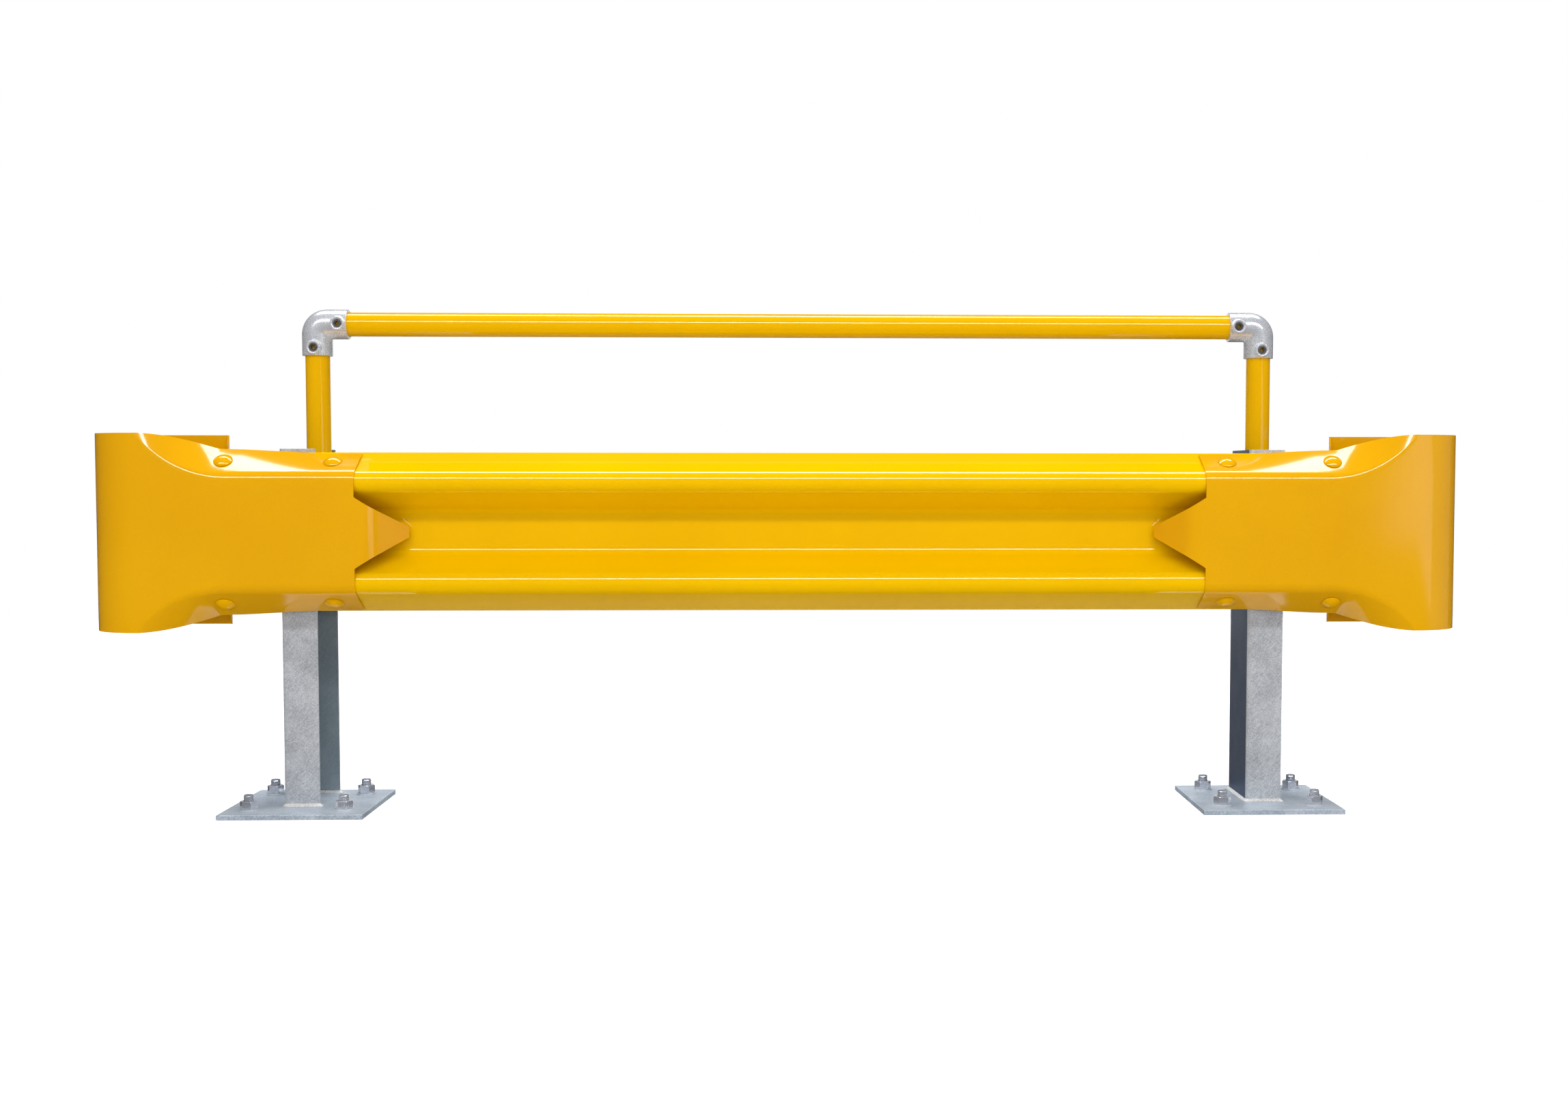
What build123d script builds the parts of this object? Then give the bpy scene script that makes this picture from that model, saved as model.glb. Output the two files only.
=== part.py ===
from build123d import *
import math
import os

# Industrial guard rail. X runs along the rail, the front faces -Y and Z is up.
# The origin is on the floor, under the middle of the rail.

# Rail: a rolled W-section sheet
rail_length = 2250.0
rail_height = 312.0
rail_centre_z = 555.0
rail_depth = 83.0            # crest's front to valley's back
rail_sheet = 3.0
crest_from_edge = 58.0       # crest centre to the rail's nearer edge
crest_radius = 24.0
valley_radius = 24.0
slope_angle = 61.5           # slopes, measured from the vertical
splice_slot_length = 29.0
splice_slot_width = 23.0
post_slot_length = 60.0
post_slot_width = 20.0

# End pieces: one pressed sheet each, laid over the rail's ends
end_sheet = 3.0
paint_gap = 0.2              # between sheets that lie on each other
end_lap = 302.0              # over the rail, from its end
nose_radius = 104.0          # outer radius of the half-round nose
nose_past_rail = 115.0       # rail's end to the centre of the nose
blank_past_crest = 93.7      # half the flat blank's width, from the crest's centre
fold_sweep_radius = 205.0    # in front view, the fold runs outwards on this arc
fold_sweep_length = 171.5    # along X
seat_flange_angle = 53.0     # flange angle under the outer bolts
last_flange_angle = 12.5     # flange angle where the fold meets the nose
seat_margin = 2.0            # flange kept straight beyond a bolt's head
return_length = 116.0        # flat return behind, from the nose to its free end
lip_depth = 13.0
lip_chamfer = 19.0
lip_radius = 5.0
tongue_root_margin = 29.0    # crest centre to the tongue's root corner
tongue_tip_half = 10.5
tongue_length = 89.0         # along X, in front view
tongue_angle = 47.0
tongue_bend_radius = 55.0
tongue_tip_radius = 5.0

# Splice bolts: mushroom heads in front, washers and nuts behind the rail's slopes
splice_bolts_from_end = (253.0, 45.0)
splice_up_slope = 29.0       # from the end of the fold, up the flange
splice_bolt_diameter = 16.0
splice_bolt_length = 35.0
splice_hole_diameter = 18.0
splice_head_diameter = 36.0
splice_head_height = 9.0
splice_head_rim = 1.5
splice_washer_diameter = 40.0
splice_washer_thickness = 3.0
splice_nut_flats = 24.0
splice_nut_height = 13.0

# Posts: cold-formed C-sections, open to the right
post_depth = 150.0
post_flange = 70.0
post_sheet = 5.0
post_bend_radius = 8.0
post_top_above_rail = 7.0
post_bolt_from_end = 165.0   # from the rail's end
post_bolt_from_web = 30.0    # from the web's outer face
post_bolt_diameter = 16.0
post_bolt_hole = 18.0
post_bolt_head_diameter = 34.0
post_bolt_head_height = 8.0
post_washer_diameter = 34.0
post_washer_thickness = 3.0
post_nut_flats = 24.0
post_nut_height = 13.0
post_bolt_spare = 8.0        # thread beyond the nut

# Base plates and their anchors
plate_width = 280.0
plate_depth = 270.0
plate_thickness = 10.0
plate_edge_chamfer = 1.0
anchor_spacing_x = 185.0
anchor_spacing_y = 170.0
anchor_diameter = 20.0
anchor_hole = 22.0
anchor_above_nut = 12.5
anchor_washer_diameter = 37.0
anchor_washer_thickness = 3.0
anchor_nut_flats = 30.0
anchor_nut_height = 16.0
weld_leg = 6.0

# Handrail: two uprights and a top tube joined by cast elbows
tube_diameter = 48.3
tube_wall = 3.2
handrail_z = 971.0
upright_from_web = 45.0      # upright's axis from the web's outer face
upright_overlap = 268.0      # post's top to the upright's foot
upright_bolts_from_top = (68.0, 228.0)  # below the post's top
upright_bolt_diameter = 12.0
upright_bolt_hole = 13.0
upright_head_flats = 19.0
upright_head_height = 7.5
upright_washer_diameter = 24.0
upright_washer_thickness = 2.5
upright_nut_height = 10.0
upright_bolt_spare = 5.0
elbow_diameter = 60.0
elbow_bend_radius = 21.0     # centre line of the bend
elbow_reach = 64.0           # axes' crossing to a socket's mouth
elbow_rim_chamfer = 1.0
elbow_fit = 0.3              # tube to socket, on the radius
tube_end_gap = 4.5           # tube's end to the end of the bend
boss_diameter = 28.0
boss_root_diameter = 31.0
boss_height = 5.0            # proud of the elbow
boss_position = 48.0         # from the axes' crossing
boss_sink_diameter = 20.0
boss_sink_depth = 1.5
grub_diameter = 16.6
grub_length = 11.0
grub_hex = 8.0
grub_fit = 0.1               # screw to its hole, on the radius

# What follows from the sizes above
crest_offset = rail_height / 2 - crest_from_edge
nose_half_height = crest_offset + blank_past_crest
tongue_root_half = crest_offset - tongue_root_margin
end_inner_edge = rail_length / 2 - end_lap
nose_centre_x = rail_length / 2 + nose_past_rail
return_end_x = nose_centre_x - return_length
splice_bolt_x = [rail_length / 2 - distance for distance in splice_bolts_from_end]
post_bolt_x = rail_length / 2 - post_bolt_from_end
front_y = -plate_depth / 2
rail_front_y = front_y + end_sheet + paint_gap
post_front_y = rail_front_y + rail_depth
post_back_y = post_front_y + post_depth
crest_centre_y = rail_front_y + crest_radius
nose_centre_y = front_y + nose_radius
rail_top_z = rail_centre_z + rail_height / 2
post_top_z = rail_top_z + post_top_above_rail
upright_foot_z = post_top_z - upright_overlap
upright_bolt_z = [post_top_z - distance for distance in upright_bolts_from_top]
fold_radius = crest_radius + paint_gap + end_sheet
fold_start_x = nose_centre_x - fold_sweep_length
flush_until = splice_bolt_x[0] + splice_head_diameter / 2 + seat_margin
seat_from = splice_bolt_x[1] - splice_head_diameter / 2 - seat_margin
seat_until = splice_bolt_x[1] + splice_head_diameter / 2 + seat_margin
upright_y = post_back_y - post_sheet - tube_diameter / 2
ends = {"left": -1, "right": 1}


def web_x(side):
    """X of the outer face of a post's web, which is on the left of both posts."""
    return side * post_bolt_x - post_bolt_from_web


def post_centre_x(side):
    return web_x(side) + post_flange / 2


def upright_x(side):
    return web_x(side) + upright_from_web


def solids_of(*shapes):
    """Separate solids, kept together in one node."""
    return Compound(children=[s for shape in shapes for s in shape.solids()])


def back_corners(corners, thickness):
    """The corners of a folded sheet's far side, on the left of its run."""
    points = [Vector(*c) for c in corners]
    normals = []
    for a, b in zip(points, points[1:]):
        run = (b - a).normalized()
        normals.append(Vector(-run.Y, run.X))
    result = [points[0] + normals[0] * thickness]
    for point, n1, n2 in zip(points[1:-1], normals, normals[1:]):
        result.append(point + (n1 + n2) * (thickness / (1 + n1.dot(n2))))
    result.append(points[-1] + normals[-1] * thickness)
    return result


def folded_sheet(corners, radii, thickness):
    """Section of a sheet with rounded folds. The radii are those of the near side."""
    points = [Vector(*c) for c in corners]
    far_radii = []
    for a, b, c, radius in zip(points, points[1:], points[2:], radii):
        turn = (b - a).cross(c - b).Z
        far_radii.append(radius - math.copysign(thickness, turn))
    near = FilletPolyline(*points, radius=radii)
    far = FilletPolyline(*back_corners(corners, thickness), radius=far_radii)
    ends_closed = Line(near @ 0, far @ 0) + Line(near @ 1, far @ 1)
    return make_face(near + far + ends_closed)


def hexagon_prism(flats, height):
    return extrude(RegularPolygon(flats / 2, 6, major_radius=False), height)


def nut(flats, height, bore):
    """A hexagon nut on its seat at Z = 0, its top corners turned off."""
    body = hexagon_prism(flats, height)
    across_corners = flats / math.cos(math.pi / 6)
    cone = Pos(0, 0, height / 2) * Cylinder(across_corners / 2, height)
    cone = chamfer(cone.edges().group_by(Axis.Z)[-1], flats * 0.05, flats * 0.09)
    return (body & cone) - Pos(0, 0, height / 2) * Cylinder(bore / 2, height)


def washer(diameter, thickness, bore):
    """A flat washer on its seat at Z = 0."""
    return extrude(Circle(diameter / 2) - Circle(bore / 2), thickness)


def mushroom_bolt(head, head_height, head_rim, shank, length):
    """Seat at Z = 0, domed head above and shank below."""
    rise = head_height - head_rim
    dome_radius = (head * head / 4 + rise * rise) / (2 * rise)
    half_angle = math.degrees(math.asin(head / 2 / dome_radius))
    shank_side = [(0, head_height), (0, -length), (shank / 2, -length), (shank / 2, 0)]
    outline = Polyline(*shank_side, (head / 2, 0), (head / 2, head_rim))
    outline += CenterArc((0, head_height - dome_radius), dome_radius, 90 - half_angle, half_angle)
    return revolve(Plane.XZ * make_face(outline), Axis.Z)


# Rail


def slope_direction(angle, side):
    """Unit vector down a flange, from its fold towards its edge, in (Y, Z)."""
    angle = math.radians(angle)
    return Vector(math.sin(angle), side * math.cos(angle))


def slope_normal(angle, side):
    """Unit vector out of a flange's front surface, in (Y, Z)."""
    angle = math.radians(angle)
    return Vector(-math.cos(angle), side * math.sin(angle))


def rail_section():
    slope = math.tan(math.radians(slope_angle))
    apex_y = crest_centre_y - crest_radius / math.cos(math.radians(slope_angle))
    edge_y = apex_y + (rail_height / 2 - crest_offset) * slope
    valley_y = post_front_y - rail_sheet
    valley_z = crest_offset - (valley_y - apex_y) / slope
    corners = [
        (edge_y, -rail_height / 2),
        (apex_y, -crest_offset),
        (valley_y, -valley_z),
        (valley_y, valley_z),
        (apex_y, crest_offset),
        (edge_y, rail_height / 2),
    ]
    radii = [crest_radius, valley_radius, valley_radius, crest_radius]
    return folded_sheet([(y, z) for y, z in reversed(corners)], radii, rail_sheet)


def rail_slope_plane(x, side):
    """The splice point on the rail's slope: origin on the front surface, Z outwards."""
    direction = slope_direction(slope_angle, side)
    normal = slope_normal(slope_angle, side)
    centre = Vector(crest_centre_y, side * crest_offset)
    point = centre + normal * crest_radius + direction * splice_up_slope
    return Plane(
        origin=(x, point.X, rail_centre_z + point.Y), x_dir=(1, 0, 0), z_dir=(0, normal.X, normal.Y)
    )


def make_rail():
    section = Pos(-rail_length / 2, 0, rail_centre_z) * (Plane.YZ * rail_section())
    rail = extrude(section, rail_length, dir=(1, 0, 0))
    slot = extrude(SlotOverall(splice_slot_length, splice_slot_width), rail_sheet * 4, both=True)
    for side in ends.values():
        for x in splice_bolt_x:
            for half in (1, -1):
                rail -= rail_slope_plane(side * x, half) * slot
        valley_slot = SlotOverall(post_slot_length, post_slot_width)
        cutter = extrude(Plane.XZ * valley_slot, rail_sheet * 4, both=True)
        rail -= Pos(side * post_bolt_x, post_front_y, rail_centre_z) * cutter
    return rail


# End pieces, made for the right end and mirrored for the left


def fold_height(x):
    """Height of the fold's centre above the rail's centre line."""
    run = max(0.0, x - fold_start_x)
    rise = fold_sweep_radius - math.sqrt(fold_sweep_radius**2 - run**2)
    return min(crest_offset + rise, nose_half_height - end_sheet / 2)


def flange_angle(x):
    """Angle of the flange from the vertical: on the rail's slope at first, then ever flatter."""
    if x <= flush_until:
        return slope_angle
    if x <= seat_from:
        share = (x - flush_until) / (seat_from - flush_until)
        angle = slope_angle + share * (seat_flange_angle - slope_angle)
    elif x <= seat_until:
        angle = seat_flange_angle
    else:
        share = (x - seat_until) / (nose_centre_x - seat_until)
        angle = seat_flange_angle + share * (last_flange_angle - seat_flange_angle)
    mid_radius = fold_radius - end_sheet / 2
    room = nose_half_height - fold_height(x) - end_sheet / 6
    return min(angle, math.degrees(room / mid_radius))


def flange_length(x):
    """Straight part of the flange: the blank has the same width all along."""
    mid_radius = fold_radius - end_sheet / 2
    return nose_half_height - fold_height(x) - mid_radius * math.radians(flange_angle(x))


def end_section(x):
    fold_z = fold_height(x)
    angle = flange_angle(x)
    corner_z = fold_z + fold_radius * math.tan(math.radians(angle) / 2)
    fold_centre = Vector(front_y + fold_radius, fold_z)
    edge = fold_centre + slope_normal(angle, 1) * fold_radius + slope_direction(angle, 1) * flange_length(x)
    corners = [(edge.X, edge.Y), (front_y, corner_z), (front_y, -corner_z), (edge.X, -edge.Y)]
    face = folded_sheet(corners, [fold_radius, fold_radius], end_sheet)
    return Pos(x, 0, rail_centre_z) * (Plane.YZ * face)


def flange_point(x, half):
    """The point on the end piece's outer surface where a splice bolt at X would sit."""
    angle = flange_angle(x)
    fold_centre = Vector(front_y + fold_radius, half * fold_height(x))
    point = fold_centre + slope_normal(angle, half) * fold_radius
    point += slope_direction(angle, half) * splice_up_slope
    return Vector(x, point.X, rail_centre_z + point.Y)


def splice_seat(x, half):
    """A splice bolt's seat on the right end piece: on the outer surface, Z outwards."""
    along = flange_point(x + 1, half) - flange_point(x - 1, half)
    down = slope_direction(flange_angle(x), half)
    outwards = along.cross(Vector(0, down.X, down.Y)) * half
    return Plane(origin=flange_point(x, half), x_dir=along, z_dir=outwards)


def end_front():
    """The part of the end piece in front of the rail, up to the nose."""
    flush = loft([end_section(end_inner_edge), end_section(flush_until)], ruled=True)
    opening = loft([end_section(flush_until), end_section(seat_from)], ruled=True)
    shares = (0.1, 0.22, 0.34, 0.46, 0.58, 0.69, 0.79, 0.87, 0.935, 0.975, 1.0)
    stations = [seat_from, fold_start_x]
    stations += [fold_start_x + share * fold_sweep_length for share in shares]
    sweep = loft([end_section(x) for x in stations])
    return flush + opening + sweep


def end_tongue():
    """The tapered tongue, bent back into the rail's valley."""
    tangent = tongue_bend_radius * math.tan(math.radians(tongue_angle) / 2)
    bend_x = end_inner_edge - tangent
    tip_x = end_inner_edge - tongue_length
    tip_y = front_y + (bend_x - tip_x) * math.tan(math.radians(tongue_angle))
    overlap = 2 * end_sheet
    corners = [(tip_x, tip_y), (bend_x, front_y), (end_inner_edge + overlap, front_y)]
    strip = folded_sheet(corners, [tongue_bend_radius], end_sheet)
    strip = extrude(strip, tongue_root_half, both=True)
    outline = Polyline(
        (end_inner_edge + overlap, tongue_root_half),
        (end_inner_edge, tongue_root_half),
        (tip_x, tongue_tip_half),
        (tip_x, -tongue_tip_half),
        (end_inner_edge, -tongue_root_half),
        (end_inner_edge + overlap, -tongue_root_half),
        close=True,
    )
    shape = make_face(outline)
    shape = fillet(shape.vertices().group_by(Axis.X)[0], tongue_tip_radius)
    prism = extrude(Plane.XZ * shape, plate_depth, both=True)
    return Pos(0, 0, rail_centre_z) * (strip & prism)


def end_nose():
    """The half-round nose, the flat return behind it and the return's lip."""
    start = Pos(nose_centre_x, front_y + end_sheet / 2, rail_centre_z)
    section = start * (Plane.YZ * Rectangle(end_sheet, 2 * nose_half_height))
    axis = Axis((nose_centre_x, nose_centre_y, 0), (0, 0, 1))
    nose = revolve(section, axis, 180)
    back_y = front_y + 2 * nose_radius
    corners = [(nose_centre_x, back_y), (return_end_x, back_y), (return_end_x, back_y - lip_depth)]
    back = folded_sheet(corners, [lip_radius], end_sheet)
    back = Pos(0, 0, rail_centre_z) * extrude(back, nose_half_height, both=True)
    for half in (1, -1):
        corner = Polyline(
            (back_y - lip_depth, half * (nose_half_height - lip_chamfer)),
            (back_y - lip_depth, half * (nose_half_height + 1)),
            (back_y - end_sheet, half * (nose_half_height + 1)),
            close=True,
        )
        wedge = extrude(Plane.YZ * make_face(corner), end_sheet * 3, both=True)
        back -= Pos(return_end_x, 0, rail_centre_z) * wedge
    return nose + back


def make_end_piece():
    piece = end_front() + end_tongue() + end_nose()
    hole = Cylinder(splice_hole_diameter / 2, end_sheet * 4)
    for x in splice_bolt_x:
        for half in (1, -1):
            piece -= splice_seat(x, half) * hole
    return piece


# Splice fasteners, for the right end


def washer_depth(x, half):
    """Distance below a splice bolt's seat at which its washer first touches the rail's back."""
    seat = splice_seat(x, half)
    front = rail_slope_plane(x, half)
    gap = (seat.origin - front.origin).dot(front.z_dir) + rail_sheet
    cosine = min(1.0, seat.z_dir.dot(front.z_dir))
    return (gap + splice_washer_diameter / 2 * math.sqrt(1 - cosine**2)) / cosine


def head_lift(seat, end_piece):
    """How far a flat head stands off its seat's origin where the flange is curved."""
    start = splice_head_height
    underside = washer(splice_head_diameter, splice_head_rim, splice_hole_diameter)
    return start - (seat * Pos(0, 0, start) * underside).distance_to(end_piece)


def splice_fasteners(end_piece):
    bolts, washers, nuts = [], [], []
    bolt = mushroom_bolt(
        splice_head_diameter, splice_head_height, splice_head_rim, splice_bolt_diameter, splice_bolt_length
    )
    ring = washer(splice_washer_diameter, splice_washer_thickness, splice_bolt_diameter)
    hexagon = nut(splice_nut_flats, splice_nut_height, splice_bolt_diameter)
    for x in splice_bolt_x:
        for half in (1, -1):
            seat = splice_seat(x, half)
            depth = washer_depth(x, half)
            bolts.append(seat * Pos(0, 0, head_lift(seat, end_piece)) * bolt)
            washers.append(seat * Pos(0, 0, -depth) * Rot(180, 0, 0) * ring)
            nuts.append(seat * Pos(0, 0, -depth - splice_washer_thickness) * Rot(180, 0, 0) * hexagon)
    return {
        "splice_bolts": solids_of(*bolts),
        "splice_washers": solids_of(*washers),
        "splice_nuts": solids_of(*nuts),
    }


# Posts and base plates


def post_section():
    """The C in plan, its web's outer face at X = 0 and its front at Y = 0."""
    corners = [(post_flange, post_depth), (0, post_depth), (0, 0), (post_flange, 0)]
    return folded_sheet(corners, [post_bend_radius, post_bend_radius], post_sheet)


def make_post(side):
    foot = Pos(web_x(side), post_front_y, plate_thickness)
    post = extrude(foot * post_section(), post_top_z - plate_thickness)
    along_y = Rot(90, 0, 0)
    post -= Pos(side * post_bolt_x, post_front_y, rail_centre_z) * along_y * Cylinder(
        post_bolt_hole / 2, post_sheet * 4
    )
    for z in upright_bolt_z:
        post -= Pos(upright_x(side), post_back_y, z) * along_y * Cylinder(
            upright_bolt_hole / 2, post_sheet * 4
        )
    return post


def make_weld(side, post):
    foot = offset(post_section(), amount=weld_leg, kind=Kind.INTERSECTION)
    bead = extrude(foot, weld_leg, taper=45)
    return Pos(web_x(side), post_front_y, plate_thickness) * bead - post


def anchor_places(side):
    grid = GridLocations(anchor_spacing_x, anchor_spacing_y, 2, 2)
    return [Pos(post_centre_x(side), 0, 0) * place for place in grid]


def make_base_plate(side):
    plate = Pos(post_centre_x(side), 0, plate_thickness / 2) * Box(plate_width, plate_depth, plate_thickness)
    plate = chamfer(plate.edges().group_by(Axis.Z)[-1], plate_edge_chamfer)
    for place in anchor_places(side):
        plate -= place * Cylinder(anchor_hole / 2, plate_thickness * 4)
    return plate


def anchor_fasteners(side):
    seat = plate_thickness + anchor_washer_thickness
    stud_height = seat + anchor_nut_height + anchor_above_nut
    stud = Pos(0, 0, stud_height / 2) * Cylinder(anchor_diameter / 2, stud_height)
    stud = chamfer(stud.edges().group_by(Axis.Z)[-1], anchor_diameter * 0.08)
    ring = Pos(0, 0, plate_thickness) * washer(
        anchor_washer_diameter, anchor_washer_thickness, anchor_diameter
    )
    hexagon = Pos(0, 0, seat) * nut(anchor_nut_flats, anchor_nut_height, anchor_diameter)
    places = anchor_places(side)
    return {
        "anchor_studs": solids_of(*[place * stud for place in places]),
        "anchor_washers": solids_of(*[place * ring for place in places]),
        "anchor_nuts": solids_of(*[place * hexagon for place in places]),
    }


def post_fasteners(side):
    """The bolt through the rail's valley into the post, with its washer and nut inside the post."""
    to_front = Pos(side * post_bolt_x, 0, rail_centre_z) * Rot(90, 0, 0)
    head_seat = post_front_y - rail_sheet
    washer_seat = post_front_y + post_sheet
    nut_seat = washer_seat + post_washer_thickness
    shank = nut_seat + post_nut_height + post_bolt_spare - head_seat
    bolt = mushroom_bolt(
        post_bolt_head_diameter, post_bolt_head_height, splice_head_rim, post_bolt_diameter, shank
    )
    ring = washer(post_washer_diameter, post_washer_thickness, post_bolt_diameter)
    hexagon = nut(post_nut_flats, post_nut_height, post_bolt_diameter)
    turned = Rot(180, 0, 0)
    return {
        "post_bolt": to_front * Pos(0, 0, -head_seat) * bolt,
        "post_washer": to_front * Pos(0, 0, -washer_seat) * turned * ring,
        "post_nut": to_front * Pos(0, 0, -nut_seat) * turned * hexagon,
    }


# Handrail


def tube(length):
    return extrude(Circle(tube_diameter / 2) - Circle(tube_diameter / 2 - tube_wall), length)


def make_upright(side):
    top_z = handrail_z - elbow_bend_radius - tube_end_gap
    upright = Pos(upright_x(side), upright_y, upright_foot_z) * tube(top_z - upright_foot_z)
    for z in upright_bolt_z:
        upright -= Pos(upright_x(side), upright_y, z) * Rot(90, 0, 0) * Cylinder(
            upright_bolt_hole / 2, tube_diameter * 2
        )
    return upright


def make_top_rail():
    left = upright_x(ends["left"]) + elbow_bend_radius + tube_end_gap
    right = upright_x(ends["right"]) - elbow_bend_radius - tube_end_gap
    return Pos(left, upright_y, handrail_z) * Rot(0, 90, 0) * tube(right - left)


def upright_fasteners(side):
    """Two bolts from behind, through the post's back flange and the upright."""
    head_seat = post_back_y + upright_washer_thickness
    nut_seat = upright_y - tube_diameter / 2 - upright_washer_thickness
    shank = head_seat - nut_seat + upright_nut_height + upright_bolt_spare
    head = hexagon_prism(upright_head_flats, upright_head_height)
    bolt = head + Pos(0, 0, -shank / 2) * Cylinder(upright_bolt_diameter / 2, shank)
    ring = washer(upright_washer_diameter, upright_washer_thickness, upright_bolt_diameter)
    hexagon = nut(upright_head_flats, upright_nut_height, upright_bolt_diameter)
    to_back, to_front = Rot(-90, 0, 0), Rot(90, 0, 0)
    bolts, washers, nuts = [], [], []
    for z in upright_bolt_z:
        place = Pos(upright_x(side), 0, z)
        bolts.append(place * Pos(0, head_seat, 0) * to_back * bolt)
        washers.append(place * Pos(0, post_back_y, 0) * to_back * ring)
        washers.append(place * Pos(0, upright_y - tube_diameter / 2, 0) * to_front * ring)
        nuts.append(place * Pos(0, nut_seat, 0) * to_front * hexagon)
    return {
        "upright_bolts": solids_of(*bolts),
        "upright_washers": solids_of(*washers),
        "upright_nuts": solids_of(*nuts),
    }


def elbow_form(radius, reach):
    """A short-radius elbow with sockets to +X and down, its axes crossing at the origin."""
    straight = reach - elbow_bend_radius
    across = Pos(elbow_bend_radius + straight / 2, 0, 0) * Rot(0, 90, 0) * Cylinder(radius, straight)
    down = Pos(0, 0, -elbow_bend_radius - straight / 2) * Cylinder(radius, straight)
    keep = Pos(elbow_bend_radius - 2 * radius, 0) * Rectangle(4 * radius, 4 * radius)
    half_disc = Pos(0, 0, -elbow_bend_radius) * (Circle(radius) & keep)
    axis = Axis((elbow_bend_radius, 0, -elbow_bend_radius), (0, 1, 0))
    return across + down + revolve(half_disc, axis, 90)


def screw_places():
    """Where the grub screws go: on the elbow's front, one over each socket."""
    return [Pos(boss_position, 0, 0), Pos(0, 0, -boss_position)]


def elbow_blank():
    """The elbow for the left end, about its own axes' crossing."""
    outside = elbow_form(elbow_diameter / 2, elbow_reach)
    rims = outside.edges().filter_by(GeomType.CIRCLE)
    rims = rims.filter_by(lambda e: abs(max(e.center().X, -e.center().Z) - elbow_reach) < 0.01)
    outside = chamfer(rims, elbow_rim_chamfer)
    face_y = elbow_diameter / 2 + boss_height
    to_front = Rot(90, 0, 0)
    boss = loft([
        Pos(0, 0, elbow_diameter / 4) * Circle(boss_root_diameter / 2),
        Pos(0, 0, face_y) * Circle(boss_diameter / 2),
    ])
    hole = Pos(0, 0, face_y) * Cylinder(grub_diameter / 2 + grub_fit, face_y * 1.6)
    sink = Pos(0, 0, face_y) * Cylinder(boss_sink_diameter / 2, 2 * boss_sink_depth)
    for place in screw_places():
        outside += place * to_front * boss
    body = outside - elbow_form(tube_diameter / 2 + elbow_fit, elbow_reach)
    for place in screw_places():
        body -= place * to_front * (hole + sink)
    return body


def grub_screw():
    """A socket grub screw that bears on the tube, its socket open right through."""
    screw = Pos(0, 0, tube_diameter / 2 + grub_length / 2) * Cylinder(grub_diameter / 2, grub_length)
    screw = chamfer(screw.edges().group_by(Axis.Z)[-1], grub_diameter * 0.06)
    socket = Pos(0, 0, tube_diameter / 2) * hexagon_prism(grub_hex, grub_length)
    return Rot(90, 0, 0) * (screw - socket)


def elbow_nodes(name, side):
    crossing = Pos(upright_x(side), upright_y, handrail_z)
    pieces = [elbow_blank()] + [place * grub_screw() for place in screw_places()]
    if side > 0:
        pieces = [mirror(piece, Plane.YZ) for piece in pieces]
    labels = ["elbow", "elbow_screw_top", "elbow_screw_side"]
    return {f"{name}_{label}": crossing * piece for label, piece in zip(labels, pieces)}


def build():
    nodes = {"w_beam_rail": make_rail()}
    end_piece = make_end_piece()
    fasteners = splice_fasteners(end_piece)
    for name, side in ends.items():
        nodes[f"{name}_end_piece"] = end_piece if side > 0 else mirror(end_piece, Plane.YZ)
        for label, shape in fasteners.items():
            nodes[f"{name}_{label}"] = shape if side > 0 else mirror(shape, Plane.YZ)
        post = make_post(side)
        nodes[f"{name}_post"] = post
        nodes[f"{name}_post_weld"] = make_weld(side, post)
        nodes[f"{name}_base_plate"] = make_base_plate(side)
        nodes[f"{name}_upright_tube"] = make_upright(side)
        for group in (anchor_fasteners(side), post_fasteners(side), upright_fasteners(side)):
            for label, shape in group.items():
                nodes[f"{name}_{label}"] = shape
        nodes.update(elbow_nodes(name, side))
    nodes["top_rail_tube"] = make_top_rail()
    return nodes


os.makedirs("parts", exist_ok=True)
for node, shape in build().items():
    export_step(shape, f"parts/{node}.step")
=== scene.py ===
import bmesh
import bpy
import math
from mathutils import Matrix, Quaternion, Vector


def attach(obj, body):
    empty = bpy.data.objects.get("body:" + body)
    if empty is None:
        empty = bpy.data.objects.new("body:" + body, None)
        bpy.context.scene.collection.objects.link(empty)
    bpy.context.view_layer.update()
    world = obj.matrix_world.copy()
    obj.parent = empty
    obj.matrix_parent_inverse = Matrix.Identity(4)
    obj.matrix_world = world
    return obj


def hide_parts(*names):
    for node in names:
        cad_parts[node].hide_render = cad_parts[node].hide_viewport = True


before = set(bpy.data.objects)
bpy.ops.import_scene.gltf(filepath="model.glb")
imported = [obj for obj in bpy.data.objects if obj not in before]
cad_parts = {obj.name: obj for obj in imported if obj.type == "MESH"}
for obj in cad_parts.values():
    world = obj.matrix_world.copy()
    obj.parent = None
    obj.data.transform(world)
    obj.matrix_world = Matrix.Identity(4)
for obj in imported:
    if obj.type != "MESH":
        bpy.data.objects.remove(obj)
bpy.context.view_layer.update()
print("frame loaded:", len(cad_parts), "nodes")

# meshes are modelled in millimetres and brought to metres when they are finished
mm = 0.001
touching = 0.001               # vertices nearer than this, in millimetres, are one
sides = {"left": -1, "right": 1}


# camera, at the photograph's viewing angle

cameraSetup = {
    "place": (0.0512, -3.445, 0.668),
    "turnDeg": -1.793,         # to the right
    "downDeg": 2.855,
    "rollDeg": 0.045,
    "focalMm": 39.287,
    "sensorMm": 36.0,
    "shift": (-0.0506, 0.0073),
    "clip": (0.05, 60.0),
}


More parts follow.
